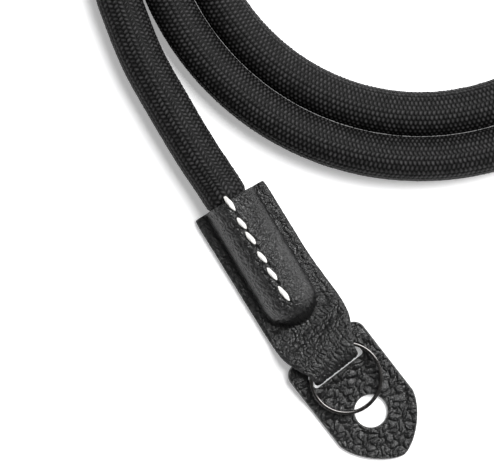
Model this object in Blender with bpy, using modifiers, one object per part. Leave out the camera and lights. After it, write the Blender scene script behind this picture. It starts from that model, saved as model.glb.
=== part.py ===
"""Camera strap of round rope, lying in a flat coil with a leather tab, a split ring and a lug protector
at each end.

Named sizes and tables are in millimetres, and MM turns them into Blender's metres. The strap lies on the
plane z = 0. The rope is laid out about the coil's centre, and each end's pieces are laid out in that end's
own frame: along from the tab's mouth to its fold, across to the right of that, and up.
"""
import math
from collections import namedtuple

import bmesh
import bpy
import numpy as np
from mathutils import Matrix

MM = 0.001
GAP = 0.3
CUTTER_REACH = 15.0

# Rope and coil
ROPE_RADIUS = 4.8
ROPE_SIDES_RESOLUTION = 4
COIL_CENTRE = (3.93, 28.1)
TURN_SPACING = 10.1
INNER_TURN_RADIUS = 52.2
TURN_STEP = 12.0
LONGEST_STRETCH = 15.5

# Unwound angles of the coil in degrees, falling as the rope runs clockwise from end A to end B
COIL_START = 199.3
FIRST_DROP_END = -79.0
SECOND_DROP_START = -157.0
SECOND_DROP_END = -437.0
COIL_END = -509.0

# Rope from end A's tab to the coil, and from the coil to end B's tab, as places about the coil's centre
STRAND_A = ((-46.3, -66.8), (-50.8, -60.0), (-56.7, -50.1), (-62.3, -40.0), (-66.4, -29.9))
STRAND_B = ((-48.6, -18.0), (-48.9, -8.1), (-44.6, 0.9), (-36.7, 6.9))

# Each end: its tab's mouth about the coil's centre, and the tab's heading in degrees from +X
End = namedtuple("End", "letter mouth_x mouth_y heading")
ENDS = (End("a", -42.9, -71.5, -59.0), End("b", -27.0, 9.0, 7.0))

# Rope inside a tab, a row for each place from the mouth inwards
Core = namedtuple("Core", "along across up radius")
CORE = (
    Core(0.0, -0.3, 5.7, 4.45),
    Core(8.0, 0.0, 5.7, 4.45),
    Core(16.0, 0.0, 5.7, 4.45),
    Core(25.0, 0.0, 5.7, 4.45),
    Core(28.2, 0.0, 5.7, 3.3),
)

# Leather tab, a row for each section from the mouth to the fold
LEATHER = 1.1
Section = namedtuple("Section", "along left right under over")
TAB_SECTIONS = (
    Section(0.0, -8.2, 8.1, 0.0, 2.2),
    Section(0.8, -8.9, 8.8, 0.0, 2.2),
    Section(20.0, -8.75, 9.1, 0.0, 2.2),
    Section(30.0, -8.6, 10.0, 0.0, 2.3),
    Section(33.0, -8.5, 10.1, 0.0, 2.8),
    Section(35.5, -8.2, 9.85, 0.0, 4.2),
    Section(37.5, -7.5, 9.3, 0.0, 5.4),
    Section(39.5, -6.4, 8.5, 0.0, 6.2),
    Section(41.0, -5.7, 7.9, 0.0, 6.4),
    Section(42.2, -5.0, 7.5, 0.0, 6.4),
    Section(43.6, -4.9, 7.2, 0.1, 6.2),
    Section(44.7, -4.6, 7.1, 0.7, 5.6),
    Section(45.3, -4.55, 7.1, 1.6, 4.8),
    Section(45.6, -4.55, 7.1, 2.5, 3.9),
)
RIDGE_HALF_WIDTH = 6.0
RIDGE_HEIGHT = 9.4
RIDGE_SQUARENESS = 2.6
RIDGE_POINTS = 13
DOME_START = 25.5
DOME_END = 31.7
DOME_STEP = 0.62
DOME_SQUARENESS = 2.4
DOME_LEAST_WIDTH = 0.25

# Space in the tab's fold, from its back to its front, where the ring and the protector's bar pass through
LOOP_SECTIONS = (
    Section(33.4, -CUTTER_REACH, CUTTER_REACH, 1.1, 1.8),
    Section(35.5, -CUTTER_REACH, CUTTER_REACH, 1.1, 3.1),
    Section(37.5, -CUTTER_REACH, CUTTER_REACH, 1.1, 4.3),
    Section(39.5, -CUTTER_REACH, CUTTER_REACH, 1.1, 5.1),
    Section(41.0, -CUTTER_REACH, CUTTER_REACH, 1.1, 5.3),
    Section(43.0, -CUTTER_REACH, CUTTER_REACH, 1.1, 5.25),
    Section(43.9, -CUTTER_REACH, CUTTER_REACH, 1.3, 5.1),
    Section(44.35, -CUTTER_REACH, CUTTER_REACH, 1.8, 4.7),
    Section(44.6, -CUTTER_REACH, CUTTER_REACH, 2.4, 4.1),
)

# The fold is skewed to lie along the protector's slot
SWING = 6.84
SKEW_START = 31.0
SKEW_FULL = 40.0
SKEW_PIVOT = 1.5

# Split ring
RING_OUTER_RADIUS = 8.3
RING_WIRE_WIDTH = 1.0
RING_HEIGHT = 1.3
RING_CORNER = 0.25
RING_STEPS = 40
RING_ALONG = 47.9
RING_ACROSS = 1.9
RING_UP = 3.28
RING_TILT = 5.9

# Lug protector, measured along its own axis from the centre of its hole
FLAP_THICKNESS = 1.4
FLAP_HALF_WIDTH = 10.4
FLAP_BACK = -18.9
FLAP_SHOULDER = 1.8
FLAP_TIP = 12.4
FLAP_TIP_POWER = 1.5
FLAP_TIP_POINTS = 14
FLAP_CORNER = 2.7
FLAP_CORNER_POINTS = 5
FLAP_HOLE_RADIUS = 3.75
FLAP_HOLE_POINTS = 28
FLAP_ALONG = 57.3
FLAP_ACROSS = 2.9
SLOT_BACK = -14.9
SLOT_FRONT = -11.4
SLOT_HALF_WIDTH = 6.8
SLOT_CORNER = 0.7
SLOT_CORNER_POINTS = 3
FLAP_RISE_START = -7.0
FLAP_RISE_END = -14.9
FLAP_RISE = 1.4
FLAP_BEND_CUTS = 7


def smooth_step(value):
    """0 below 0, 1 above 1, and an even S between them."""
    t = np.clip(value, 0.0, 1.0)
    return t * t * (3.0 - 2.0 * t)


def clear_scene():
    for old in list(bpy.data.objects):
        bpy.data.objects.remove(old, do_unlink=True)


def new_collection(name):
    collection = bpy.data.collections.new(name)
    bpy.context.scene.collection.children.link(collection)
    return collection


def new_material(name, colour, roughness, metallic):
    material = bpy.data.materials.new(name)
    material.use_nodes = True
    shader = material.node_tree.nodes["Principled BSDF"]
    shader.inputs["Base Color"].default_value = (*colour, 1.0)
    shader.inputs["Roughness"].default_value = roughness
    shader.inputs["Metallic"].default_value = metallic
    return material


def end_matrix(end):
    """The end's own frame in the part's frame, in millimetres."""
    x, y = end.mouth_x + COIL_CENTRE[0], end.mouth_y + COIL_CENTRE[1]
    return Matrix.Translation((x, y, 0.0)) @ Matrix.Rotation(math.radians(end.heading), 4, "Z")


def in_part(end, rows):
    """Rows of along, across, up and radius in an end's frame, as x, y, z and radius in the part's frame."""
    place = np.array(end_matrix(end))
    points = [place @ (row[0], row[1], row[2], 1.0) for row in rows]
    return [(*point[:3], row[3]) for point, row in zip(points, rows)]


def turn_radius(angle):
    """Radius of the coil's centreline: it steps in by one spacing in each of the two drops."""
    first = smooth_step((COIL_START - angle) / (COIL_START - FIRST_DROP_END))
    second = smooth_step((SECOND_DROP_START - angle) / (SECOND_DROP_START - SECOND_DROP_END))
    return INNER_TURN_RADIUS + TURN_SPACING * (2.0 - first - second)


def coil_rows():
    """The coil's turns, a point every TURN_STEP degrees, so that neighbouring turns keep step."""
    count = int((COIL_START - COIL_END) / TURN_STEP) + 1
    angles = COIL_START - TURN_STEP * np.arange(count)
    radii = turn_radius(angles)
    x = COIL_CENTRE[0] + radii * np.cos(np.radians(angles))
    y = COIL_CENTRE[1] + radii * np.sin(np.radians(angles))
    return [(px, py, ROPE_RADIUS, ROPE_RADIUS) for px, py in zip(x, y)]


def strand_rows(places):
    """A free stretch of rope on the ground, from places about the coil's centre."""
    return [(x + COIL_CENTRE[0], y + COIL_CENTRE[1], ROPE_RADIUS, ROPE_RADIUS) for x, y in places]


def smooth_route(rows):
    """Points on the Catmull-Rom curve through the rows, no further apart than LONGEST_STRETCH."""
    knots = np.array([rows[0], *rows, rows[-1]])
    route = []
    for before, start, stop, after in zip(knots, knots[1:], knots[2:], knots[3:]):
        pieces = math.ceil(np.linalg.norm(stop[:3] - start[:3]) / LONGEST_STRETCH)
        for t in np.arange(pieces) / pieces:
            route.append(0.5 * (2.0 * start + (stop - before) * t
                                + (2.0 * before - 5.0 * start + 4.0 * stop - after) * t ** 2
                                + (3.0 * start - before - 3.0 * stop + after) * t ** 3))
    return route + [knots[-1]]


def rope_rows():
    """The whole rope, from its end inside tab A to its end inside tab B."""
    end_a, end_b = ENDS
    return smooth_route([*in_part(end_a, CORE[::-1]), *strand_rows(STRAND_A), *coil_rows(),
                         *strand_rows(STRAND_B), *in_part(end_b, CORE)])


def make_tube(name, rows, collection):
    """A round tube along rows of x, y, z and radius, with filled caps."""
    curve = bpy.data.curves.new(name, "CURVE")
    curve.dimensions = "3D"
    curve.twist_mode = "Z_UP"
    curve.bevel_depth = ROPE_RADIUS * MM
    curve.bevel_resolution = ROPE_SIDES_RESOLUTION
    curve.use_fill_caps = True
    spline = curve.splines.new("POLY")
    spline.points.add(len(rows) - 1)
    for point, (x, y, z, radius) in zip(spline.points, rows):
        point.co = (x * MM, y * MM, z * MM, 1.0)
        point.radius = radius / ROPE_RADIUS
    tube = bpy.data.objects.new(name, curve)
    collection.objects.link(tube)
    return tube


def make_plate(name, outlines, thickness, collection):
    """A flat plate on z = 0: the first outline is its edge and the others are its holes."""
    curve = bpy.data.curves.new(name, "CURVE")
    curve.dimensions = "2D"
    curve.fill_mode = "BOTH"
    curve.extrude = thickness * MM / 2.0
    for outline in outlines:
        spline = curve.splines.new("POLY")
        spline.points.add(len(outline) - 1)
        for point, (x, y) in zip(spline.points, outline):
            point.co = (x * MM, y * MM, 0.0, 1.0)
        spline.use_cyclic_u = True
    plate = bpy.data.objects.new(name, curve)
    plate.location.z = thickness * MM / 2.0
    collection.objects.link(plate)
    return plate


def curve_to_mesh(curve_object, collection):
    """A mesh object in the curve object's place, with its caps welded on."""
    bpy.context.view_layer.update()
    evaluated = curve_object.evaluated_get(bpy.context.evaluated_depsgraph_get())
    mesh = bpy.data.meshes.new_from_object(evaluated)
    welded = bmesh.new()
    welded.from_mesh(mesh)
    bmesh.ops.remove_doubles(welded, verts=welded.verts, dist=0.01 * MM)
    welded.to_mesh(mesh)
    welded.free()
    mesh.transform(curve_object.matrix_world)
    name = curve_object.name
    bpy.data.objects.remove(curve_object, do_unlink=True)
    result = bpy.data.objects.new(name, mesh)
    collection.objects.link(result)
    return result


def section_at(sections, along):
    """The section at a place between the table's rows."""
    table = np.array(sections)
    return Section(along, *(np.interp(along, table[:, 0], table[:, column]) for column in range(1, 5)))


def ridge_scale(along):
    """The ridge's size along the tab: whole up to the dome, then down to nothing as a superellipse."""
    t = np.clip((along - DOME_START) / (DOME_END - DOME_START), 0.0, 1.0)
    return (1.0 - t ** DOME_SQUARENESS) ** (1.0 / DOME_SQUARENESS)


def tab_outline(section):
    """A section of the tab: flat below, thin at both edges, with a superellipse arch over the rope."""
    scale = ridge_scale(section.along)
    half_width = RIDGE_HALF_WIDTH * max(scale, DOME_LEAST_WIDTH)
    angles = np.linspace(0.0, math.pi, RIDGE_POINTS)
    power = 2.0 / RIDGE_SQUARENESS
    across = half_width * np.sign(np.cos(angles)) * np.abs(np.cos(angles)) ** power
    up = section.over + RIDGE_HEIGHT * scale * np.abs(np.sin(angles)) ** power
    middle = np.clip(across, section.left + LEATHER / 2.0, section.right - LEATHER / 2.0)
    return [(section.left, section.under), (section.right, section.under), (section.right, section.over),
            *zip(middle, up), (section.left, section.over)]


def loop_outline(section):
    return [(section.left, section.under), (section.right, section.under),
            (section.right, section.over), (section.left, section.over)]


def skewed(along, across):
    """Skew the fold so that it lies along the protector's slot."""
    share = smooth_step((along - SKEW_START) / (SKEW_FULL - SKEW_START))
    return along - math.tan(math.radians(SWING)) * (across - SKEW_PIVOT) * share


def make_loft(name, sections, outline, collection):
    """A closed solid through the outlines of a row of sections, all with as many points."""
    loft = bmesh.new()
    rings = [[loft.verts.new((skewed(section.along, across) * MM, across * MM, up * MM))
              for across, up in outline(section)] for section in sections]
    for ring, following in zip(rings, rings[1:]):
        for i in range(len(ring)):
            j = (i + 1) % len(ring)
            loft.faces.new((ring[i], ring[j], following[j], following[i]))
    loft.faces.new(rings[0][::-1])
    loft.faces.new(rings[-1])
    bmesh.ops.recalc_face_normals(loft, faces=loft.faces)
    mesh = bpy.data.meshes.new(name)
    loft.to_mesh(mesh)
    loft.free()
    solid = bpy.data.objects.new(name, mesh)
    collection.objects.link(solid)
    return solid


def cut(target, cutter):
    cutter.hide_render = True
    cutter.display_type = "WIRE"
    modifier = target.modifiers.new("cut " + cutter.name, "BOOLEAN")
    modifier.operation = "DIFFERENCE"
    modifier.solver = "EXACT"
    modifier.object = cutter


def make_tab(end, parts, cutters):
    """The leather folded over the rope's end, open at its mouth and through its fold."""
    rows = [section.along for section in TAB_SECTIONS]
    dome = np.arange(DOME_START, DOME_END, DOME_STEP)
    places = sorted({round(float(along), 3) for along in (*rows, *dome)})
    tab = make_loft("end_tab_" + end.letter, [section_at(TAB_SECTIONS, along) for along in places],
                    tab_outline, parts)
    loop = make_loft("fold space " + end.letter, LOOP_SECTIONS, loop_outline, cutters)
    first, last = CORE[0], CORE[-1]
    hollow = [first._replace(along=first.along - CUTTER_REACH / 4.0), *CORE,
              last._replace(along=last.along + GAP)]
    pocket_rows = [(row.along, row.across, row.up, row.radius + GAP) for row in hollow]
    pocket = curve_to_mesh(make_tube("rope space " + end.letter, pocket_rows, cutters), cutters)
    cut(tab, loop)
    cut(tab, pocket)
    return tab, loop, pocket


def make_ring(end, parts):
    """The split ring's two turns as one band, turned from a rounded rectangle."""
    outer, inner = RING_OUTER_RADIUS, RING_OUTER_RADIUS - RING_WIRE_WIDTH
    top, corner = RING_HEIGHT / 2.0, RING_CORNER
    profile = [(inner, top - corner), (inner + corner, top), (outer - corner, top), (outer, top - corner),
               (outer, corner - top), (outer - corner, -top), (inner + corner, -top), (inner, corner - top)]
    mesh = bpy.data.meshes.new("split_ring_" + end.letter)
    edges = [(i, (i + 1) % len(profile)) for i in range(len(profile))]
    mesh.from_pydata([(radius * MM, 0.0, up * MM) for radius, up in profile], edges, [])
    ring = bpy.data.objects.new("split_ring_" + end.letter, mesh)
    parts.objects.link(ring)
    turn = ring.modifiers.new("turn", "SCREW")
    turn.steps = turn.render_steps = RING_STEPS
    turn.use_merge_vertices = True
    turn.merge_threshold = 0.01 * MM
    turn.use_smooth_shade = True
    ring.location = (RING_ALONG * MM, RING_ACROSS * MM, RING_UP * MM)
    ring.rotation_euler.y = math.radians(RING_TILT)
    return ring


def arc(centre, radius, start, stop, count):
    """Points on an arc, in degrees, with both of its ends."""
    angles = np.radians(np.linspace(start, stop, count))
    return [(centre[0] + radius * math.cos(a), centre[1] + radius * math.sin(a)) for a in angles]


def rounded_box(back, front, half_width, corner, count):
    """A rectangle with round corners, anticlockwise."""
    near, far, side = back + corner, front - corner, half_width - corner
    return [*arc((far, side), corner, 0.0, 90.0, count), *arc((near, side), corner, 90.0, 180.0, count),
            *arc((near, -side), corner, 180.0, 270.0, count), *arc((far, -side), corner, 270.0, 360.0, count)]


def flap_outline():
    """Straight sides, two round back corners and a front that narrows as a superellipse."""
    angles = np.linspace(-math.pi / 2.0, math.pi / 2.0, 2 * FLAP_TIP_POINTS + 1)
    power = 2.0 / FLAP_TIP_POWER
    along = FLAP_SHOULDER + (FLAP_TIP - FLAP_SHOULDER) * np.abs(np.cos(angles)) ** power
    across = FLAP_HALF_WIDTH * np.sign(np.sin(angles)) * np.abs(np.sin(angles)) ** power
    near, side = FLAP_BACK + FLAP_CORNER, FLAP_HALF_WIDTH - FLAP_CORNER
    return [*zip(along, across),
            *arc((near, side), FLAP_CORNER, 90.0, 180.0, FLAP_CORNER_POINTS),
            *arc((near, -side), FLAP_CORNER, 180.0, 270.0, FLAP_CORNER_POINTS)]


def make_protector(end, parts):
    """The flap: a flat plate with a hole and a slot, whose back bends up over the tab's lower leather."""
    slot = rounded_box(SLOT_BACK, SLOT_FRONT, SLOT_HALF_WIDTH, SLOT_CORNER, SLOT_CORNER_POINTS)
    hole = arc((0.0, 0.0), FLAP_HOLE_RADIUS, 0.0, 360.0, FLAP_HOLE_POINTS + 1)[:-1]
    plate = make_plate("lug_protector_" + end.letter, (flap_outline(), hole, slot), FLAP_THICKNESS, parts)
    flap = curve_to_mesh(plate, parts)
    bent = bmesh.new()
    bent.from_mesh(flap.data)
    for along in np.linspace(FLAP_RISE_END, FLAP_RISE_START, FLAP_BEND_CUTS):
        everything = bent.verts[:] + bent.edges[:] + bent.faces[:]
        bmesh.ops.bisect_plane(bent, geom=everything, plane_co=(along * MM, 0.0, 0.0),
                               plane_no=(1.0, 0.0, 0.0), dist=0.001 * MM)
    for vertex in bent.verts:
        share = (FLAP_RISE_START - vertex.co.x / MM) / (FLAP_RISE_START - FLAP_RISE_END)
        vertex.co.z += FLAP_RISE * MM * float(smooth_step(share))
    bent.to_mesh(flap.data)
    bent.free()
    flap.location = (FLAP_ALONG * MM, FLAP_ACROSS * MM, 0.0)
    flap.rotation_euler.z = math.radians(SWING)
    return flap


def place_at_end(end, pieces, collection):
    """Parent an end's pieces to an empty at the mouth of its tab."""
    holder = bpy.data.objects.new("end " + end.letter, None)
    collection.objects.link(holder)
    x, y, z = end_matrix(end).to_translation()
    holder.location = (x * MM, y * MM, z * MM)
    holder.rotation_euler.z = math.radians(end.heading)
    for piece in pieces:
        piece.parent = holder


def shade_round(piece):
    piece.data.shade_smooth()
    piece.data.set_sharp_from_angle(angle=math.radians(35.0))


def main():
    clear_scene()
    parts = new_collection("rope camera strap")
    cutters = new_collection("cutters")
    rope_fabric = new_material("rope fabric", (0.012, 0.012, 0.013), 0.85, 0.0)
    leather = new_material("black leather", (0.014, 0.014, 0.015), 0.45, 0.0)
    metal = new_material("ring metal", (0.18, 0.18, 0.19), 0.25, 1.0)

    rope = curve_to_mesh(make_tube("rope", rope_rows(), parts), parts)
    rope.data.materials.append(rope_fabric)
    shade_round(rope)
    for end in ENDS:
        tab, loop, pocket = make_tab(end, parts, cutters)
        ring = make_ring(end, parts)
        flap = make_protector(end, parts)
        tab.data.materials.append(leather)
        flap.data.materials.append(leather)
        ring.data.materials.append(metal)
        shade_round(tab)
        shade_round(flap)
        place_at_end(end, (tab, ring, flap, loop, pocket), parts)


main()
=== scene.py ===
"""The looks of the coiled rope camera strap, piece by piece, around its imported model.

Lengths are in millimetres in the part's own frame, with its underside on z = 0, and MM turns them into Blender's
metres. A place on either end of the strap is given along, across and up from the mouth of that end's leather tab.
"""

import bpy
import numpy as np
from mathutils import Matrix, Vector, geometry


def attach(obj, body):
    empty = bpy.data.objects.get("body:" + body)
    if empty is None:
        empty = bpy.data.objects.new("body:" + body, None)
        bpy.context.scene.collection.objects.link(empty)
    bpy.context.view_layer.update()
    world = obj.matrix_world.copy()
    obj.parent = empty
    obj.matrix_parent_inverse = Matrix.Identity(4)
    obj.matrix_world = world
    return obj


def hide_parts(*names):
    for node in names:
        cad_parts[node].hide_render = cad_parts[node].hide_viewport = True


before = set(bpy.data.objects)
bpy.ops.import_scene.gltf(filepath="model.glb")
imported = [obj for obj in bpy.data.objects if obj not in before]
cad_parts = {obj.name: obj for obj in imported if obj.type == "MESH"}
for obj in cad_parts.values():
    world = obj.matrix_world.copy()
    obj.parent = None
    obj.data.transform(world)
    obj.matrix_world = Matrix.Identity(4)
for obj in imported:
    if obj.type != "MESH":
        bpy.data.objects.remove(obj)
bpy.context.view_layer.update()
scene = bpy.context.scene
MM = 0.001


# The camera looks straight down on the strap, as the photograph does, so that the tab, the first stretch of rope
# and a quarter of the coil fill its frame.
VIEW_CENTRE = (-34.97, -51.6)
VIEW_WIDTH = 111.0
CAMERA_HEIGHT = 750.0
ROPE_MID_HEIGHT = 5.0

camera = bpy.data.objects.new("camera", bpy.data.cameras.new("camera"))
camera.location = (VIEW_CENTRE[0] * MM, VIEW_CENTRE[1] * MM, CAMERA_HEIGHT * MM)
camera.data.lens = camera.data.sensor_width * (CAMERA_HEIGHT - ROPE_MID_HEIGHT) / VIEW_WIDTH
scene.collection.objects.link(camera)
scene.camera = camera


# The rope is a soft round core in a knitted sleeve of black polyester yarn. It is wound into a flat coil of two
# and a bit turns, and each of its ends runs straight into a leather tab, where it is sewn through.
COIL_CENTRE = (3.93, 28.1)
COIL_START, FIRST_DROP_END = 199.3, -79.0
SECOND_DROP_START, SECOND_DROP_END, COIL_TURN_STEPS = -157.0, -437.0, 60
TURN_STEP = 12.0
INNER_TURN_RADIUS = 52.2
TURN_SPACING = 10.1
STRAND_A = ((-46.3, -66.8), (-50.8, -60.0), (-56.7, -50.1), (-62.3, -40.0), (-66.4, -29.9))
STRAND_B = ((-48.6, -18.0), (-48.9, -8.1), (-44.6, 0.9), (-36.7, 6.9))
MOUTHS = {"a": (-42.9, -71.5, -59.0), "b": (-27.0, 9.0, 7.0)}
CORE = ((0.0, -0.3), (8.0, 0.0), (16.0, 0.0), (25.0, 0.0), (28.2, 0.0))
CORE_HEIGHT = 5.7
ROPE_RADIUS = 4.83
SEWN_RADIUS = 4.3
STITCH_PITCH = 1.0
SAMPLES_A_STITCH = 4
KNIT_ROWS = 26
SAMPLES_A_ROW = 3
STITCH_SLANT = 0.5
STITCH_RELIEF = 0.24
SLEEVE_LENGTHS = 3


def smooth_step(value):
    """Nought up to 0 and one from 1 on, and three times the square less twice the cube between."""
    value = np.clip(value, 0.0, 1.0)
    return value * value * (3.0 - 2.0 * value)


def in_part(end, along, across, up):
    """Points of an end, moved to the part's frame: the mouth, plus along times the end's heading, plus across times
    the heading's left-hand side. The mouths are given from the coil's centre."""
    x, y, heading = MOUTHS[end]
    cos, sin = np.cos(np.radians(heading)), np.sin(np.radians(heading))
    return np.stack([COIL_CENTRE[0] + x + along * cos - across * sin,
                     COIL_CENTRE[1] + y + along * sin + across * cos,
                     up + 0.0 * along], axis=-1)


def smooth_route(rows, steps):
    """A smooth line through rows of numbers: on each stretch, the cubic that passes its two ends and whose slope
    there is half the step between the rows on either side (Catmull and Rom's)."""
    padded = np.concatenate([rows[:1], rows, rows[-1:]])
    before, start, stop, after = (padded[i:len(rows) - 1 + i, None] for i in range(4))
    t = (np.arange(steps) / steps)[None, :, None]
    line = 0.5 * (2.0 * start + (stop - before) * t + (2.0 * before - 5.0 * start + 4.0 * stop - after) * t ** 2
                  + (3.0 * start - before - 3.0 * stop + after) * t ** 3)
    return np.concatenate([line.reshape(-1, rows.shape[1]), rows[-1:]])


def length_along(line):
    """How far each point of a line is from its start, summed over the stretches before it."""
    return np.concatenate([[0.0], np.cumsum(np.linalg.norm(np.diff(line, axis=0), axis=1))])


def grid_faces(rows, columns, closed):
    """The four corners of each square between rows of points; a closed grid's last column meets its first."""
    across = columns if closed else columns - 1
    first = (np.arange(rows - 1)[:, None] * columns + np.arange(across)[None, :]).ravel()
    beside = (np.arange(rows - 1)[:, None] * columns + (np.arange(across)[None, :] + 1) % columns).ravel()
    return np.stack([first, beside, beside + columns, first + columns], axis=1)


def new_piece(name, points, squares, caps=(), uv=None, attributes=()):
    """An object at the origin with its place in its mesh. Points are in millimetres; squares are rows of corners,
    caps are single faces of any length, and uv has one pair for each corner, caps last."""
    faces = [*squares.tolist(), *[list(cap) for cap in caps]]
    mesh = bpy.data.meshes.new(name)
    mesh.from_pydata((points.reshape(-1, 3) * MM).tolist(), [], faces)
    mesh.polygons.foreach_set("use_smooth", np.ones(len(faces), dtype=bool))
    if uv is not None:
        mesh.uv_layers.new(name="surface").uv.foreach_set("vector", uv.astype(np.float32).ravel())
    for label, values in attributes:
        mesh.attributes.new(label, "FLOAT", "POINT").data.foreach_set("value", values.astype(np.float32).ravel())
    mesh.update()
    piece = bpy.data.objects.new(name, mesh)
    scene.collection.objects.link(piece)
    return piece


def add_node(tree, kind, inputs=None, **settings):
    """Adds a node with its settings; each input is a value, or another node's output that is linked to it."""
    node = tree.nodes.new(kind)
    for name, value in settings.items():
        setattr(node, name, value)
    for socket, value in (inputs or {}).items():
        if isinstance(value, bpy.types.NodeSocket):
            tree.links.new(value, node.inputs[socket])
        else:
            node.inputs[socket].default_value = value
    return node


def sums(tree, operation, first, second=0.0, third=0.0):
    """The output of one Math node."""
    node = add_node(tree, "ShaderNodeMath", {0: first, 1: second, 2: third}, operation=operation)
    return node.outputs[0]


def new_material(name):
    """A material with nothing in it but its output and a Principled BSDF, and that BSDF."""
    material = bpy.data.materials.new(name)
    material.use_nodes = True
    material.node_tree.nodes.clear()
    surface = add_node(material.node_tree, "ShaderNodeBsdfPrincipled")
    add_node(material.node_tree, "ShaderNodeOutputMaterial", {"Surface": surface.outputs[0]})
    return material, surface


def finish_with(piece, material):
    """Gives a piece its material and lets it ride on the strap."""
    piece.data.materials.append(material)
    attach(piece, "root")


turns = COIL_START - TURN_STEP * np.arange(COIL_TURN_STEPS)
first_drop = smooth_step((COIL_START - turns) / (COIL_START - FIRST_DROP_END))
second_drop = smooth_step((SECOND_DROP_START - turns) / (SECOND_DROP_START - SECOND_DROP_END))
turn_radii = INNER_TURN_RADIUS + TURN_SPACING * (2.0 - first_drop - second_drop)
coil = np.stack([turn_radii * np.cos(np.radians(turns)), turn_radii * np.sin(np.radians(turns))], axis=1)
lying = np.concatenate([STRAND_A, coil, STRAND_B]) + COIL_CENTRE
lying = np.column_stack([lying, np.full(len(lying), ROPE_MID_HEIGHT)])
core = np.array(CORE)
sewn_in = {end: in_part(end, core[:, 0], core[:, 1], CORE_HEIGHT) for end in MOUTHS}
rope_route = smooth_route(np.concatenate([sewn_in["a"][::-1], lying, sewn_in["b"]]), 12)
rope_run = length_along(rope_route)
rope_length = rope_run[-1]
rope_heading = np.gradient(rope_route, rope_run, axis=0)


def rope_surface(run, turn, height):
    """Points on the rope: its middle line at a run along it, plus its radius there and a height, times the
    direction at a turn round it. The radius is the sewn one inside the tabs and swells just outside the mouths."""
    middle = np.stack([np.interp(run, rope_run, rope_route[:, i]) for i in range(3)], axis=-1)
    ahead = np.stack([np.interp(run, rope_run, rope_heading[:, i]) for i in range(3)], axis=-1)
    ahead /= np.linalg.norm(ahead, axis=-1, keepdims=True)
    side = np.cross(ahead, (0.0, 0.0, 1.0))
    side /= np.linalg.norm(side, axis=-1, keepdims=True)
    upward = np.cross(side, ahead)
    from_end = np.minimum(run, rope_length - run) - CORE[-1][0]
    radius = SEWN_RADIUS + (ROPE_RADIUS - SEWN_RADIUS) * smooth_step((from_end + 0.4) / 1.4) + height
    return middle + radius[..., None] * (np.cos(turn)[..., None] * side + np.sin(turn)[..., None] * upward)


def knit_height(stitch, row, tightness):
    """The yarn's height over the gaps: across each stitch a rounded bar, over each row a bulge that falls to the
    groove between rows, every other row half a stitch on, and each stitch a little looser or tighter."""
    phase = stitch + 0.5 * (np.floor(row) % 2.0)
    bar = 1.0 - (2.0 * np.abs(phase % 1.0 - 0.5)) ** 2.0
    bulge = np.sin(np.pi * (row % 1.0)) ** 0.7
    return STITCH_RELIEF * bar * bulge * tightness


stitch_count = int(rope_length / STITCH_PITCH) // SLEEVE_LENGTHS * SLEEVE_LENGTHS
rings_a_length = stitch_count * SAMPLES_A_STITCH // SLEEVE_LENGTHS
row_samples = KNIT_ROWS * SAMPLES_A_ROW
tightness = np.random.default_rng(7).uniform(0.8, 1.2, (stitch_count + 2, KNIT_ROWS))
sleeve = []
for part in range(SLEEVE_LENGTHS):
    ring = part * rings_a_length + np.arange(rings_a_length + 1)
    stitch, row = np.meshgrid(ring / SAMPLES_A_STITCH, np.arange(row_samples) / SAMPLES_A_ROW, indexing="ij")
    slant = STITCH_SLANT * (1.0 - np.abs(row % 2.0 - 1.0))
    own = tightness[np.minimum(stitch.astype(int), stitch_count), row.astype(int)]
    run = (stitch + slant * (1.0 - stitch / stitch_count)) * rope_length / stitch_count
    points = rope_surface(run, row * 2.0 * np.pi / KNIT_ROWS, knit_height(stitch, row, own))
    squares = grid_faces(len(ring), row_samples, True)[:, ::-1]
    last = len(ring) * row_samples
    caps = (list(range(row_samples)), list(range(last - 1, last - row_samples - 1, -1)))
    corner_stitch = squares // row_samples + part * rings_a_length
    corner_row = squares % row_samples
    corner_row[:, :2] += row_samples * ((corner_row[:, :2] == 0) & (corner_row[:, 2:].max(axis=1) > 1)[:, None])
    uv = np.stack([corner_stitch / SAMPLES_A_STITCH, corner_row / SAMPLES_A_ROW], axis=-1).reshape(-1, 2)
    uv = np.concatenate([uv, np.zeros((2 * row_samples, 2))])
    sleeve.append(new_piece(f"rope_sleeve_{part + 1}", points, squares, caps, uv))

knit, knit_surface = new_material("knitted_black_yarn")
tree = knit.node_tree
place = add_node(tree, "ShaderNodeUVMap", uv_map="surface").outputs[0]
apart = add_node(tree, "ShaderNodeSeparateXYZ", {0: place})
row_number = sums(tree, "FLOOR", apart.outputs[1])
half_on = sums(tree, "MULTIPLY", sums(tree, "MODULO", row_number, 2.0), 0.5)
phase = sums(tree, "FRACT", sums(tree, "ADD", apart.outputs[0], half_on))
from_bar = sums(tree, "ABSOLUTE", sums(tree, "SUBTRACT", phase, 0.5))
bar = sums(tree, "SUBTRACT", 1.0, sums(tree, "POWER", sums(tree, "MULTIPLY", from_bar, 2.0), 1.6))
bulge = sums(tree, "SINE", sums(tree, "MULTIPLY", sums(tree, "FRACT", apart.outputs[1]), np.pi))
yarn = sums(tree, "MULTIPLY", bar, sums(tree, "POWER", bulge, 0.6))
own = add_node(tree, "ShaderNodeCombineXYZ", {0: sums(tree, "FLOOR", sums(tree, "ADD", apart.outputs[0], half_on)),
                                              1: row_number})
dice = add_node(tree, "ShaderNodeTexWhiteNoise", {"Vector": own.outputs[0]}, noise_dimensions="2D")
yarn = sums(tree, "MULTIPLY", yarn, sums(tree, "MULTIPLY_ADD", dice.outputs["Value"], 0.45, 0.7))
fibres = add_node(tree, "ShaderNodeTexNoise", {"Vector": place, "Scale": 3.0, "Detail": 4.0, "Roughness": 0.7})
uneven = sums(tree, "MULTIPLY_ADD", fibres.outputs[0], 0.5, -0.25)
yarn = sums(tree, "ADD", yarn, sums(tree, "MULTIPLY", uneven, yarn))
# Painted shade: the base colour falls to near black in the gaps between stitches and the grooves between rows, and is
# lighter on the yarn's tops; the per-stitch and fibre changes are the yarn's own uneven tone.
shade = add_node(tree, "ShaderNodeValToRGB", {0: yarn})
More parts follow.
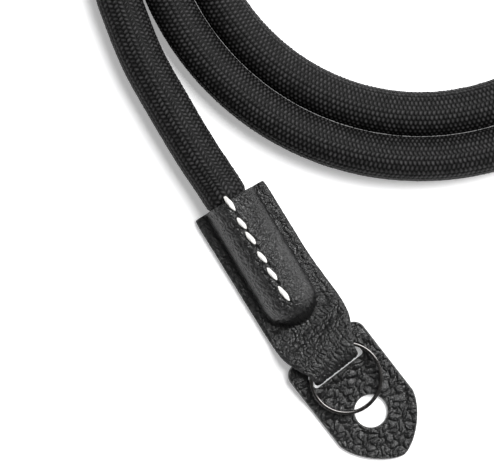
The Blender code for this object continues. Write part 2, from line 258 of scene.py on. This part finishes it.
shade.color_ramp.elements[0].position = 0.4
shade.color_ramp.elements[0].color = (0.0005, 0.0005, 0.0005, 1.0)
shade.color_ramp.elements[1].position = 1.0
shade.color_ramp.elements[1].color = (0.036, 0.035, 0.036, 1.0)
bump = add_node(tree, "ShaderNodeBump", {"Height": yarn, "Distance": 0.2 * MM, "Strength": 0.6})
tree.links.new(shade.outputs[0], knit_surface.inputs["Base Color"])
tree.links.new(bump.outputs[0], knit_surface.inputs["Normal"])
knit_surface.inputs["Roughness"].default_value = 0.62
knit_surface.inputs["Specular IOR Level"].default_value = 0.2
for piece in sleeve:
    finish_with(piece, knit)

core_run = np.linspace(0.0, rope_length, 620)
core_turn = np.linspace(0.0, 2.0 * np.pi, 12, endpoint=False)
run, turn = np.meshgrid(core_run, core_turn, indexing="ij")
squares = grid_faces(620, 12, True)[:, ::-1]
caps = (list(range(12)), list(range(620 * 12 - 1, 619 * 12 - 1, -1)))
rope_core = new_piece("rope_core", rope_surface(run, turn, np.full(run.shape, -0.25)), squares, caps)
core_material, core_surface = new_material("rope_core_yarn")
core_surface.inputs["Base Color"].default_value = (0.004, 0.004, 0.004, 1.0)
core_surface.inputs["Roughness"].default_value = 0.9
finish_with(rope_core, core_material)
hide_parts("rope")


# Each end tab is one strip of black pebbled calf leather. It lies under the rope's end, turns up through the lug
# protector's slot and round the split ring, and comes back over the rope, where it is pressed down on both sides.
LEATHER = 1.08
TAB_OUTSIDE = np.array([
    # along, up, left edge, right edge
    (0.0, 2.2, -8.2, 8.1), (0.8, 2.2, -8.9, 8.8), (10.0, 2.2, -8.85, 8.95), (20.0, 2.2, -8.75, 9.1),
    (30.0, 2.3, -8.6, 10.0), (33.0, 2.8, -8.5, 10.1), (35.5, 4.2, -8.2, 9.85), (37.5, 5.4, -7.5, 9.3),
    (39.5, 6.2, -6.4, 8.5), (41.0, 6.4, -5.7, 7.9), (42.2, 6.35, -5.0, 7.5), (43.5, 6.0, -4.9, 7.2),
    (44.5, 5.3, -4.6, 7.1), (45.2, 4.5, -4.55, 7.1), (45.55, 3.8, -4.55, 7.1), (45.65, 3.2, -4.55, 7.1),
    (45.6, 2.5, -4.55, 7.1), (45.3, 1.6, -4.55, 7.1), (44.7, 0.7, -4.6, 7.1), (43.6, 0.1, -4.9, 7.2),
    (42.2, 0.0, -5.0, 7.5), (41.0, 0.0, -5.7, 7.9), (39.5, 0.0, -6.4, 8.5), (37.5, 0.0, -7.5, 9.3),
    (35.5, 0.0, -8.2, 9.85), (33.0, 0.0, -8.5, 10.1), (30.0, 0.0, -8.6, 10.0), (20.0, 0.0, -8.75, 9.1),
    (10.0, 0.0, -8.85, 8.95), (0.8, 0.0, -8.9, 8.8), (0.0, 0.0, -8.2, 8.1)])
FOLD_ROW = 15
RIDGE_HALF_WIDTH, RIDGE_HEIGHT, RIDGE_SQUARENESS = 6.1, 9.4, 2.1
DOME_START, DOME_END, DOME_SQUARENESS = 25.6, 31.6, 2.2
SWING, SKEW_START, SKEW_FULL, SKEW_PIVOT = 6.84, 31.0, 40.0, 1.5
SEAM_ACROSS = -0.3
SEAM_HOLES = (3.6, 8.0 - 0.3, 12.3, 16.85, 21.5, 26.6)
TAB_GRAIN, TAB_GRAIN_DEPTH = 1.05, 0.2
SADDLE_CREASES = ((35.2, 0.0), (36.4, 1.5), (37.7, -0.5), (39.2, 1.0))


def pebbles(along, across, cell, seed):
    """Leather grain on a flat hide, as one height from 0 in the creases to 1 on the pebbles. Each square of the
    hide holds one point at a random place. How much nearer the nearest point is than the next, over their sum, goes
    from 0 between two pebbles to 1 at a pebble's middle, and a power rounds it into a dome."""
    dice = np.random.default_rng(seed).random((2, 96, 96))
    u, v = along / cell, across / cell
    reach = []
    for du in (-1, 0, 1):
        for dv in (-1, 0, 1):
            i, j = np.floor(u).astype(int) + du, np.floor(v).astype(int) + dv
            reach.append(np.hypot(i + dice[0, i % 96, j % 96] - u, j + dice[1, i % 96, j % 96] - v))
    nearest = np.sort(np.stack(reach), axis=0)
    middle = (nearest[1] - nearest[0]) / (nearest[1] + nearest[0])
    return 1.0 - (1.0 - np.minimum(middle * 1.25, 1.0)) ** 2.2


def blur(values, times, axis):
    """Rounds off a grid along one axis: each point becomes half itself and a quarter of each neighbour, many times
    over, with the ends left where they are."""
    values = np.moveaxis(values.copy(), axis, 0)
    for _ in range(times):
        values[1:-1] = 0.5 * values[1:-1] + 0.25 * (values[:-2] + values[2:])
    return np.moveaxis(values, 0, axis)


def evenly(line, count):
    """The same line with its points an equal length apart."""
    run = length_along(line)
    spots = np.linspace(0.0, run[-1], count)
    return np.stack([np.interp(spots, run, line[:, i]) for i in range(line.shape[1])], axis=1)


def outward(points):
    """The normals of a grid of points: the cross product of its steps along and across, made one long."""
    normal = np.cross(np.gradient(points, axis=0), np.gradient(points, axis=1))
    return normal / np.linalg.norm(normal, axis=-1, keepdims=True)


def tab_strip(spacing):
    """The strip's outer face before its grain, as a grid along and across it, and how far along the strip each row
    is. The strip's side view is the table's along and up; in each cross section a flat wing on either side meets
    an arch, a superellipse whose height falls to nothing over the dome at the rope's end."""
    side_view = smooth_route(TAB_OUTSIDE, 12)
    run = length_along(side_view[:, :2])
    fold_run = run[FOLD_ROW * 12]
    over = np.arange(0.0, fold_run, spacing)
    under = np.linspace(fold_run, run[-1], int((run[-1] - fold_run) / (2.2 * spacing)))
    spots = np.concatenate([over, under])
    along, up, left, right = (np.interp(spots, run, side_view[:, i]) for i in range(4))
    on_top = spots < fold_run
    dome = np.clip((along - DOME_START) / (DOME_END - DOME_START), 0.0, 1.0)
    nose = (1.0 - dome ** DOME_SQUARENESS) ** (1.0 / DOME_SQUARENESS) * on_top
    t = np.linspace(np.pi, 0.0, 121)
    power = 2.0 / RIDGE_SQUARENESS
    bow = (RIDGE_HALF_WIDTH * nose)[:, None] * np.sign(np.cos(t)) * np.abs(np.cos(t)) ** power
    wing = np.linspace(0.0, 1.0, 30, endpoint=False)
    across = np.concatenate([left[:, None] + (bow[:, :1] - left[:, None]) * wing, bow,
                             right[:, None] + (bow[:, -1:] - right[:, None]) * wing[::-1]], axis=1)
    rise = np.concatenate([0.0 * wing, np.abs(np.sin(t)) ** power, 0.0 * wing])
    height = up[:, None] + (RIDGE_HEIGHT * nose)[:, None] * rise
    count = int(27.0 / spacing)
    rows = np.stack([evenly(np.stack([a, h], axis=1), count) for a, h in zip(across, height)])
    rows = blur(rows, int((0.75 / spacing) ** 2 * 2.0), 1)
    across, height = rows[..., 0], rows[..., 1]
    along = np.broadcast_to(along[:, None], across.shape)
    skew = np.tan(np.radians(SWING)) * (across - SKEW_PIVOT) * smooth_step(
        (along - SKEW_START) / (SKEW_FULL - SKEW_START))
    grid = np.stack([along - skew, across, height], axis=-1)
    grid[:len(over) - 8] = blur(grid[:len(over) - 8], int((0.45 / spacing) ** 2 * 2.0), 0)
    return grid, spots, on_top


def make_tab(end, spacing):
    """The tab's outer face with its grain sunk in, its inner face one leather thickness inside it, and rounded cut
    edges between them, carried along the strip as one closed section with a face across each end."""
    grid, spots, on_top = tab_strip(spacing)
    normal = outward(grid)
    over_run = np.broadcast_to(spots[:, None], grid.shape[:2])
    steps = np.linalg.norm(np.diff(grid, axis=1), axis=2)
    across_run = np.concatenate([np.zeros((len(grid), 1)), np.cumsum(steps, axis=1)], axis=1)
    across_run -= across_run[:, grid.shape[1] // 2:grid.shape[1] // 2 + 1]
    wander = 0.35 * np.sin(over_run * 1.9 + 0.7 * across_run) + 0.3 * np.sin(across_run * 2.3 - 0.9 * over_run)
    grain = pebbles(over_run + wander + 40.0, across_run + 40.0 + 0.6 * wander, TAB_GRAIN, 3)
    sunk = TAB_GRAIN_DEPTH * (1.0 - grain)
    along, across = grid[..., 0], grid[..., 1]
    ridge = (on_top[:, None] & (along < DOME_END)).astype(float)
    for side in (-1.0, 1.0):
        sunk += 0.15 * ridge * np.exp(-((side * across - 7.0) / 0.6) ** 2)
    for start, shift in SADDLE_CREASES:
        line = along - start + 0.45 * (across - shift) + 0.25 * np.sin(across * 1.4 + start)
        sunk += 0.1 * on_top[:, None] * np.exp(-(line / 0.2) ** 2) * np.exp(-((across - shift) / 3.2) ** 4)
    from_edge = np.minimum(across - across[:, :1], across[:, -1:] - across)
    sunk += 0.3 * np.exp(-(from_edge / 0.4) ** 2)
    for hole in SEAM_HOLES:
        sunk += 0.3 * np.exp(-(((along - hole) ** 2 + (across - SEAM_ACROSS) ** 2) / 0.55 ** 2))
    sunk += 0.32 * (~on_top[:, None]) * np.exp(-((across - SEAM_ACROSS) / 0.8) ** 4) * (along < 28.0)
    sunk += 0.1 * ridge * np.exp(-((across - SEAM_ACROSS) / 1.0) ** 2)
    outer = grid - normal * sunk[..., None]
    picked = np.linspace(0, grid.shape[1] - 1, 25).astype(int)[::-1]
    inner = (grid - normal * LEATHER)[:, picked]
    out_right, out_left = outer[:, -1:], outer[:, :1]
    in_right, in_left = inner[:, :1], inner[:, -1:]
    right_way = outer[:, -1:] - outer[:, -3:-2]
    left_way = outer[:, :1] - outer[:, 2:3]
    right_way /= np.linalg.norm(right_way, axis=-1, keepdims=True)
    left_way /= np.linalg.norm(left_way, axis=-1, keepdims=True)
    part = np.array([0.25, 0.5, 0.75])[None, :, None]
    rough = np.random.default_rng(11).uniform(0.6, 1.3, (len(grid), 3, 1))
    swell = 0.16 * np.sin(np.pi * part) * rough
    right_edge = out_right + (in_right - out_right) * part + right_way * swell
    left_edge = in_left + (out_left - in_left) * part + left_way * swell
    section = np.concatenate([outer, right_edge, inner, left_edge], axis=1)
    section[..., 2] = np.maximum(section[..., 2], 0.0)
    rows, columns = section.shape[:2]
    cut = np.ones((rows, columns))
    cut[:, 1:outer.shape[1] - 1] = 0.0
    # The grain attribute gives the bump and the painted shade in the creases of the outer face; the cut edges and the
    # inner face get no painted shade.
    creases = np.ones((rows, columns))
    creases[:, :outer.shape[1]] = grain
    squares = grid_faces(rows, columns, True)[:, ::-1]
    caps = (list(range(columns)), list(range(rows * columns - 1, (rows - 1) * columns - 1, -1)))
    flat = np.stack([np.broadcast_to(spots[:, None], (rows, columns)),
                     np.concatenate([across_run, across_run[:, -1:] + np.linspace(0.2, 60.0, columns - outer.shape[1])],
                                    axis=1)], axis=-1)
    flat = flat.reshape(-1, 2)
    uv = np.concatenate([flat[squares.ravel()], np.zeros((2 * columns, 2))])
    points = in_part(end, section[..., 0], section[..., 1], section[..., 2])
    return new_piece(f"tab_leather_{end}", points, squares, caps, uv, (("cut", cut), ("grain", grain_or(creases))))


def grain_or(values):
    """The values as they are, in one long row."""
    return values.reshape(-1)


grain_and_shade_group = bpy.data.node_groups.new("leather_grain_and_crease_shade", "ShaderNodeTree")
for label, kind in (("Place", "NodeSocketVector"), ("Pebbles", "NodeSocketFloat"), ("Cut Edge", "NodeSocketFloat"),
                    ("Wrinkle Size", "NodeSocketFloat"), ("Cut Roughness", "NodeSocketFloat"), ("Dark", "NodeSocketColor"), ("Light", "NodeSocketColor")):
    grain_and_shade_group.interface.new_socket(label, in_out="INPUT", socket_type=kind)
for label, kind in (("Colour", "NodeSocketColor"), ("Roughness", "NodeSocketFloat"), ("Height", "NodeSocketFloat")):
    grain_and_shade_group.interface.new_socket(label, in_out="OUTPUT", socket_type=kind)
given = add_node(grain_and_shade_group, "NodeGroupInput")
wrinkles = add_node(grain_and_shade_group, "ShaderNodeTexVoronoi", {
    "Vector": given.outputs["Place"], "Scale": given.outputs["Wrinkle Size"]},
    feature="DISTANCE_TO_EDGE")
pores = add_node(grain_and_shade_group, "ShaderNodeTexNoise", {
    "Vector": given.outputs["Place"], "Scale": 5.0, "Detail": 5.0, "Roughness": 0.65})
ridges = sums(grain_and_shade_group, "MINIMUM", sums(grain_and_shade_group, "MULTIPLY", wrinkles.outputs["Distance"], 5.0), 1.0)
whole = sums(grain_and_shade_group, "SUBTRACT", 1.0, given.outputs["Cut Edge"])
relief = sums(grain_and_shade_group, "MULTIPLY_ADD", given.outputs["Pebbles"], 0.9, sums(grain_and_shade_group, "MULTIPLY", ridges, 0.45))
relief = sums(grain_and_shade_group, "MULTIPLY", relief, whole)
relief = sums(grain_and_shade_group, "MULTIPLY_ADD", pores.outputs[0], 0.5, relief)
# Painted shade: the colour goes from the light one on the pebbles to the dark one in the creases between them and along
# the fine wrinkle lines.
crease_shade = sums(grain_and_shade_group, "MULTIPLY", given.outputs["Pebbles"], sums(grain_and_shade_group, "MULTIPLY_ADD", ridges, 0.4, 0.6))
colour = add_node(grain_and_shade_group, "ShaderNodeMix", {0: crease_shade, 6: given.outputs["Dark"], 7: given.outputs["Light"]},
                  data_type="RGBA")
rough = sums(grain_and_shade_group, "MULTIPLY_ADD", pores.outputs[0], 0.24, 0.2)
rough = sums(grain_and_shade_group, "MULTIPLY_ADD", given.outputs["Cut Edge"], given.outputs["Cut Roughness"], rough)
add_node(grain_and_shade_group, "NodeGroupOutput", {"Colour": colour.outputs[2], "Roughness": rough, "Height": relief})


def leather_material(name, wrinkle_size, cut_roughness, dark, light, depth):
    """Black pebbled leather: the grain group on the piece's own UV map and grain, with painted shade in the creases,
    and a bump of the given depth.
    """
    material, surface = new_material(name)
    tree = material.node_tree
    grain = add_node(tree, "ShaderNodeGroup", {}, node_tree=grain_and_shade_group)
    tree.links.new(add_node(tree, "ShaderNodeUVMap", uv_map="surface").outputs[0], grain.inputs["Place"])
    pebble = add_node(tree, "ShaderNodeAttribute", attribute_name="grain")
    cut = add_node(tree, "ShaderNodeAttribute", attribute_name="cut")
    tree.links.new(pebble.outputs["Fac"], grain.inputs["Pebbles"])
    tree.links.new(cut.outputs["Fac"], grain.inputs["Cut Edge"])
    grain.inputs["Wrinkle Size"].default_value = wrinkle_size
    grain.inputs["Cut Roughness"].default_value = cut_roughness
    grain.inputs["Dark"].default_value = dark
    grain.inputs["Light"].default_value = light
    bump = add_node(tree, "ShaderNodeBump", {"Height": grain.outputs["Height"], "Distance": depth * MM,
                                             "Strength": 0.8})
    tree.links.new(grain.outputs["Colour"], surface.inputs["Base Color"])
    tree.links.new(grain.outputs["Roughness"], surface.inputs["Roughness"])
    tree.links.new(bump.outputs[0], surface.inputs["Normal"])
    surface.inputs["Specular IOR Level"].default_value = 0.5
    return material


# Painted shade: the darker of the two colours goes in the tab leather's creases.
tab_leather = leather_material("tab_leather", 2.4, 0.3, (0.0015, 0.0015, 0.0015, 1.0), (0.008, 0.008, 0.0084, 1.0), 0.14)
for end, spacing in (("a", 0.22), ("b", 0.3)):
    tab = make_tab(end, spacing)
    finish_with(tab, tab_leather)
    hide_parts(f"end_tab_{end}")


# A row of six stitches in thick white waxed thread holds the rope in each tab. They sit on the ridge's crest and
# in a groove under the tab, and the first one wraps over the leather's edge onto the rope.
TOP_STITCHES = ((-1.6, 2.9), (4.3, 7.6), (8.0, 11.6), (13.1, 16.4), (17.3, 20.9), (22.1, 26.3))
CREST_HEIGHT = 11.45
THREAD_HALF_WIDTH, THREAD_HALF_HEIGHT = 0.56, 0.4


def make_stitches(end):
    """Each stitch is a ring of points swept from hole to hole: its width and height swell as a power of the sine
    of the way along, it sinks into its holes at both ends, and three plies wind round it."""
    way, turn = np.meshgrid(np.linspace(0.0, 1.0, 41), np.linspace(0.0, 2.0 * np.pi, 24, endpoint=False),
                            indexing="ij")
    points, squares = [], []
    for layer, (bottom, sign) in enumerate(((CREST_HEIGHT, 1.0), (0.42, -1.0))):
        for start, stop in TOP_STITCHES:
            swell = np.sin(np.pi * np.clip(way, 0.001, 0.999)) ** 0.62
            plies = 1.0 + 0.09 * np.cos(3.0 * (turn - way * (stop - start) * 0.8))
            wide = THREAD_HALF_WIDTH * swell * plies * np.cos(turn)
            tall = THREAD_HALF_HEIGHT * swell * plies * np.sin(turn)
            over_edge = max(0.0, -start) * (sign > 0)
            along = start + (stop - start) * way
            drop = 0.35 * (1.0 - swell) + over_edge * 0.65 * smooth_step((0.3 - along) / 1.6)
            up = bottom + sign * (-drop + 0.1) * (1.0 if sign > 0 else 0.8) + tall
            squares.append(grid_faces(41, 24, True) + 41 * 24 * len(points))
            lean = 0.5 * (way - 0.5)
            points.append(in_part(end, along, SEAM_ACROSS + lean + wide, np.maximum(up, 0.02)).reshape(-1, 3))
    starts = [41 * 24 * i for i in range(len(points))]
    caps = [list(range(s + 23, s - 1, -1)) for s in starts] + [list(range(s + 40 * 24, s + 41 * 24)) for s in starts]
    flat = np.stack([way * 12.0, turn], axis=-1).reshape(-1, 2)
    flat = np.concatenate([flat] * len(points))
    squares = np.concatenate(squares)
    uv = np.concatenate([flat[squares.ravel()], np.zeros((24 * len(caps), 2))])
    return new_piece(f"tab_stitches_{end}", np.concatenate(points), squares, caps, uv)


thread, thread_surface = new_material("waxed_white_thread")
tree = thread.node_tree
fuzz = add_node(tree, "ShaderNodeTexNoise", {"Vector": add_node(tree, "ShaderNodeUVMap").outputs[0], "Scale": 4.0,
                                             "Detail": 4.0})
shade = add_node(tree, "ShaderNodeValToRGB", {0: fuzz.outputs[0]})
shade.color_ramp.elements[0].position = 0.3
shade.color_ramp.elements[0].color = (0.62, 0.61, 0.58, 1.0)
shade.color_ramp.elements[1].position = 0.6
shade.color_ramp.elements[1].color = (0.9, 0.89, 0.87, 1.0)
bump = add_node(tree, "ShaderNodeBump", {"Height": fuzz.outputs[0], "Distance": 0.05 * MM})
tree.links.new(shade.outputs[0], thread_surface.inputs["Base Color"])
tree.links.new(bump.outputs[0], thread_surface.inputs["Normal"])
thread_surface.inputs["Roughness"].default_value = 0.7
for end in MOUTHS:
    finish_with(make_stitches(end), thread)


# Each split ring is two turns of flattened spring wire, one on the other, in dark nickel. It hangs in the tab's
# fold, and its two ends stop short of the step where one turn passes to the other.
RING_MIDDLE_RADIUS, RING_WIRE_WIDTH, RING_WIRE_HEIGHT = 7.9, 0.78, 0.6
RING_ALONG, RING_ACROSS, RING_UP, RING_TILT = 47.9, 1.9, 3.28, 5.9
RING_STEP_AT, RING_STEP_SPAN = 172.0, 26.0


def make_ring(end):
    """A rounded rectangle swept round twice. Its height steps from the lower turn to the upper one as a smooth
    step round the first full turn, and the whole ring is then tilted about the across direction."""
    angle, turn = np.meshgrid(np.linspace(0.5 * RING_STEP_SPAN, 720.0 - 0.5 * RING_STEP_SPAN, 301),
                              np.linspace(0.0, 2.0 * np.pi, 16, endpoint=False) + np.pi / 16.0, indexing="ij")
    half_wide = 0.5 * RING_WIRE_WIDTH * np.sign(np.cos(turn)) * np.abs(np.cos(turn)) ** 0.5
    half_tall = 0.5 * RING_WIRE_HEIGHT * np.sign(np.sin(turn)) * np.abs(np.sin(turn)) ** 0.5
    pinch = np.minimum(1.0, 0.55 + (angle - angle[0, 0]) / 6.0)
    pinch = np.minimum(pinch, 0.55 + (angle[-1, 0] - angle) / 6.0)
    level = 0.66 * smooth_step((angle - 360.0) / RING_STEP_SPAN + 0.5) - 0.33
    radius = RING_MIDDLE_RADIUS + half_wide * pinch
    x = radius * np.cos(np.radians(angle + RING_STEP_AT))
    y = radius * np.sin(np.radians(angle + RING_STEP_AT))
    z = level + half_tall * pinch
    cos, sin = np.cos(np.radians(RING_TILT)), np.sin(np.radians(RING_TILT))
    points = in_part(end, RING_ALONG + x * cos + z * sin, RING_ACROSS + y, RING_UP - x * sin + z * cos)
    squares = grid_faces(301, 16, True)[:, ::-1]
    caps = (list(range(16)), list(range(301 * 16 - 1, 300 * 16 - 1, -1)))
    return new_piece(f"split_wire_{end}", points, squares, caps)


nickel, nickel_surface = new_material("dark_nickel")
tree = nickel.node_tree
place = add_node(tree, "ShaderNodeTexCoord").outputs["Object"]
scuffs = add_node(tree, "ShaderNodeTexNoise", {"Vector": place, "Scale": 900.0, "Detail": 3.0})
wear = add_node(tree, "ShaderNodeMapRange", {0: scuffs.outputs[0], 1: 0.3, 2: 0.7, 3: 0.14, 4: 0.24})
tint = add_node(tree, "ShaderNodeMix", {0: scuffs.outputs[0], 6: (0.07, 0.066, 0.066, 1.0), 7: (0.14, 0.135, 0.13, 1.0)},
                data_type="RGBA")
tree.links.new(tint.outputs[2], nickel_surface.inputs["Base Color"])
tree.links.new(wear.outputs[0], nickel_surface.inputs["Roughness"])
nickel_surface.inputs["Metallic"].default_value = 1.0
for end in MOUTHS:
    ring = make_ring(end)
    finish_with(ring, nickel)
    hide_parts(f"split_ring_{end}")


# Each lug protector is a die-cut flap of coarser pebbled leather with its edges painted black. The tab's fold
# passes through its slot, and its round hole sits over the camera's strap lug.
FLAP_THICKNESS = 1.4
FLAP_HALF_WIDTH, FLAP_BACK, FLAP_SHOULDER, FLAP_TIP, FLAP_TIP_POWER = 10.4, -18.9, 1.8, 12.4, 1.5
FLAP_CORNER, FLAP_HOLE_RADIUS, FLAP_ALONG, FLAP_ACROSS = 2.7, 3.75, 57.3, 2.9
SLOT_BACK, SLOT_FRONT, SLOT_HALF_WIDTH, SLOT_CORNER = -14.9, -11.4, 6.8, 0.7
FLAP_RISE_START, FLAP_RISE_END, FLAP_RISE = -7.0, -14.9, 1.4
FLAP_GRAIN, FLAP_GRAIN_DEPTH = 1.3, 0.26
EDGE_ROUNDING = 0.35


def arc(centre, radius, start, stop, count):
    """Points on a part of a circle, from one angle to another in degrees."""
    angle = np.radians(np.linspace(start, stop, count))
    return np.stack([centre[0] + radius * np.cos(angle), centre[1] + radius * np.sin(angle)], axis=1)


def flap_edges(spacing):
    """The flap's three edges, anticlockwise: the outline, which has round corners at its back and a superellipse
    at its tip, then the slot and the hole. Their points are an equal length apart."""
    t = np.linspace(-np.pi / 2.0, np.pi / 2.0, 181)
    power = 2.0 / FLAP_TIP_POWER
    tip = np.stack([FLAP_SHOULDER + (FLAP_TIP - FLAP_SHOULDER) * np.abs(np.cos(t)) ** power,
                    FLAP_HALF_WIDTH * np.sign(t) * np.abs(np.sin(t)) ** power], axis=1)
    side, back = FLAP_HALF_WIDTH - FLAP_CORNER, FLAP_BACK + FLAP_CORNER
    outline = np.concatenate([tip, arc((back, side), FLAP_CORNER, 90.0, 180.0, 20),
                              arc((back, -side), FLAP_CORNER, 180.0, 270.0, 20), tip[:1]])
    side, low, high = SLOT_HALF_WIDTH - SLOT_CORNER, SLOT_BACK + SLOT_CORNER, SLOT_FRONT - SLOT_CORNER
    slot = np.concatenate([arc((high, -side), SLOT_CORNER, 270.0, 360.0, 9), arc((high, side), SLOT_CORNER, 0.0, 90.0, 9),
                           arc((low, side), SLOT_CORNER, 90.0, 180.0, 9),
                           arc((low, -side), SLOT_CORNER, 180.0, 270.0, 9)])
    slot = np.concatenate([slot, slot[:1]])
    hole = arc((0.0, 0.0), FLAP_HOLE_RADIUS, 0.0, 360.0, 121)
    return [evenly(edge, int(length_along(edge)[-1] / spacing) + 1)[:-1] for edge in (outline, slot, hole)]


def inside(points, edge):
    """Which points are inside a closed edge: those from which a ray to the right crosses it an odd number of times."""
    x, y = points[:, :1], points[:, 1:]
    ax, ay = edge[:, 0][None], edge[:, 1][None]
    bx, by = np.roll(ax, -1), np.roll(ay, -1)
    rise = np.where(by == ay, 1e-9, by - ay)
    crosses = ((ay > y) != (by > y)) & (x < ax + (y - ay) * (bx - ax) / rise)
    return crosses.sum(axis=1) % 2 == 1


def distance_to(points, edge):
    """How far each point is from the nearest point of an edge."""
    best = np.full(len(points), 1e9)
    for start in range(0, len(edge), 50):
        gaps = points[:, None] - edge[None, start:start + 50]
        best = np.minimum(best, np.sqrt((gaps ** 2).sum(axis=2)).min(axis=1))
    return best


def flap_triangles(spacing):
    """A flat mesh of the flap: the edges' points and a staggered grid of points inside them, joined by Blender's
    triangulation. The count of edge points comes with it."""
    edges = flap_edges(spacing)
    fine = flap_edges(spacing / 3.0)
    columns = np.arange(FLAP_BACK, FLAP_TIP, spacing * 0.87)
    rows = np.arange(-FLAP_HALF_WIDTH - spacing, FLAP_HALF_WIDTH + spacing, spacing)
    x, y = np.meshgrid(columns, rows, indexing="ij")
    y = y + 0.5 * spacing * (np.arange(len(columns))[:, None] % 2)
    filling = np.stack([x.ravel(), y.ravel()], axis=1)
    filling = filling[inside(filling, edges[0]) & ~inside(filling, edges[1]) & ~inside(filling, edges[2])]
    near = np.min([distance_to(filling, edge) for edge in fine], axis=0)
    filling = filling[near > 0.62 * spacing]
    counts = [len(edge) for edge in edges]
    firsts = np.concatenate([[0], np.cumsum(counts)])
    loops = [np.arange(firsts[i], firsts[i + 1]) for i in range(3)]
    lines = np.concatenate([np.stack([loop, np.roll(loop, -1)], axis=1) for loop in loops])
    points = np.concatenate([*edges, filling])
    _, _, faces, _, _, _ = geometry.delaunay_2d_cdt(points.tolist(), lines.tolist(), [], 0, 1e-6)
    faces = np.array(faces)
    centres = points[faces].mean(axis=1)
    kept = inside(centres, edges[0]) & ~inside(centres, edges[1]) & ~inside(centres, edges[2])
    nearness = np.concatenate([np.zeros(firsts[3]), near[near > 0.62 * spacing]])
    return points, faces[kept], loops, nearness


def make_flap(end, spacing):
    """The flap's two faces from one flat mesh, the upper with the grain sunk in and the lower smoother, both
    rounded off near every edge as a quarter circle, and a slightly bowed cut wall between their edges. The back
    rises over the tab's lower layer as a smooth step, and the flap is turned about its hole."""
    points, faces, loops, near = flap_triangles(spacing)
    along, across = points[:, 0], points[:, 1]
    wander = 0.2 * np.sin(along * 1.3 + 1.1 * across) + 0.2 * np.sin(across * 1.7 - 0.8 * along)
    grain = pebbles(0.9 * along + wander + 60.0, 0.7 * across + 0.35 * along + wander + 60.0, FLAP_GRAIN, 5)
    rounding = EDGE_ROUNDING - np.sqrt(np.maximum(0.0, EDGE_ROUNDING ** 2
                                                  - np.maximum(0.0, EDGE_ROUNDING - near) ** 2))
    rise = FLAP_RISE * smooth_step((FLAP_RISE_START - along) / (FLAP_RISE_START - FLAP_RISE_END))
    inward = smooth_step(near / 0.6)
    crown = 0.1 * np.exp(-((near - 0.9) / 0.6) ** 2)
    top = rise + FLAP_THICKNESS - 0.1 - rounding - FLAP_GRAIN_DEPTH * (1.0 - grain) * inward + crown
    bottom = rise + 0.6 * rounding + 0.05 * (1.0 - grain) * inward
    walls, cut = [], []
    above, below = np.arange(len(points)), np.arange(len(points)) + len(points)
    stack = [np.column_stack([points, top]), np.column_stack([points, bottom])]
    count = 2 * len(points)
    for number, loop in enumerate(loops):
        ahead = np.roll(points[loop], -1, axis=0) - np.roll(points[loop], 1, axis=0)
        away = np.stack([ahead[:, 1], -ahead[:, 0]], axis=1) / np.linalg.norm(ahead, axis=1, keepdims=True)
        away = away * (1.0 if number == 0 else -1.0)
        middle = points[loop] + 0.07 * away
        stack.append(np.column_stack([middle, 0.5 * (top[loop] + bottom[loop])]))
        ring = np.arange(len(loop)) + count
        count += len(loop)
        for upper, lower in ((above[loop], ring), (ring, below[loop])):
            wall = np.stack([upper, lower, np.roll(lower, -1), np.roll(upper, -1)], axis=1)
            walls.append(wall if number == 0 else wall[:, ::-1])
    shape = np.concatenate(stack)
    cos, sin = np.cos(np.radians(SWING)), np.sin(np.radians(SWING))
    placed = in_part(end, FLAP_ALONG + shape[:, 0] * cos - shape[:, 1] * sin,
                     FLAP_ACROSS + shape[:, 0] * sin + shape[:, 1] * cos, shape[:, 2])
    walls = np.concatenate(walls)
    triangles = np.concatenate([faces, faces[:, ::-1] + len(points)])
    flat = shape[:, :2]
    uv = np.concatenate([flat[walls.ravel()], flat[triangles.ravel()]])
    # The grain attribute gives the bump and the painted shade in the creases: full on the upper face, weaker on the
    # lower face and none on the cut wall.
    height = np.concatenate([grain, 0.6 + 0.4 * grain, np.ones(count - 2 * len(points))])
    edge = np.concatenate([1.0 - smooth_step(near / 0.16), np.ones(len(points)) * 0.8, np.ones(count - 2 * len(points))])
    return new_piece(f"flap_leather_{end}", placed, walls, triangles.tolist(), uv, (("cut", edge), ("grain", height)))


# Painted shade: the darker of the two colours goes in the flap leather's creases.
flap_leather = leather_material("flap_leather", 2.0, -0.1, (0.0015, 0.0015, 0.0015, 1.0), (0.008, 0.008, 0.0084, 1.0), 0.14)
for end, spacing in (("a", 0.2), ("b", 0.3)):
    flap = make_flap(end, spacing)
    finish_with(flap, flap_leather)
    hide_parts(f"lug_protector_{end}")


# The strap lies on a white studio table under one big soft box at the upper right, with a weak fill all round.
KEY_PLACE, KEY_AIM, KEY_SIZE, KEY_POWER = (330.0, 250.0, 700.0), (-30.0, -50.0, 0.0), 600.0, 14.5

table = bpy.data.objects.new("table", bpy.data.meshes.new("table"))
table.data.from_pydata([(-4.0, -4.0, 0.0), (4.0, -4.0, 0.0), (4.0, 4.0, 0.0), (-4.0, 4.0, 0.0)], [], [(0, 1, 2, 3)])
scene.collection.objects.link(table)
table_paint, table_surface = new_material("white_table")
table_surface.inputs["Base Color"].default_value = (0.93, 0.93, 0.935, 1.0)
table_surface.inputs["Roughness"].default_value = 0.9
table_surface.inputs["Specular IOR Level"].default_value = 0.1
table_surface.inputs["Emission Color"].default_value = (1.0, 1.0, 1.0, 1.0)
table_surface.inputs["Emission Strength"].default_value = 0.33
table.data.materials.append(table_paint)

key = bpy.data.objects.new("key", bpy.data.lights.new("key", "AREA"))
key.data.size = KEY_SIZE * MM
key.data.energy = KEY_POWER
key.location = np.array(KEY_PLACE) * MM
key.rotation_euler = (Vector(KEY_AIM) - Vector(KEY_PLACE)).to_track_quat("-Z", "Y").to_euler()
key.visible_camera = False
scene.collection.objects.link(key)
scene.world = bpy.data.worlds.new("studio")
scene.world.use_nodes = True
scene.world.node_tree.nodes["Background"].inputs[0].default_value = (1.0, 1.0, 1.0, 1.0)
scene.world.node_tree.nodes["Background"].inputs[1].default_value = 0.14
scene.view_settings.view_transform = "Standard"
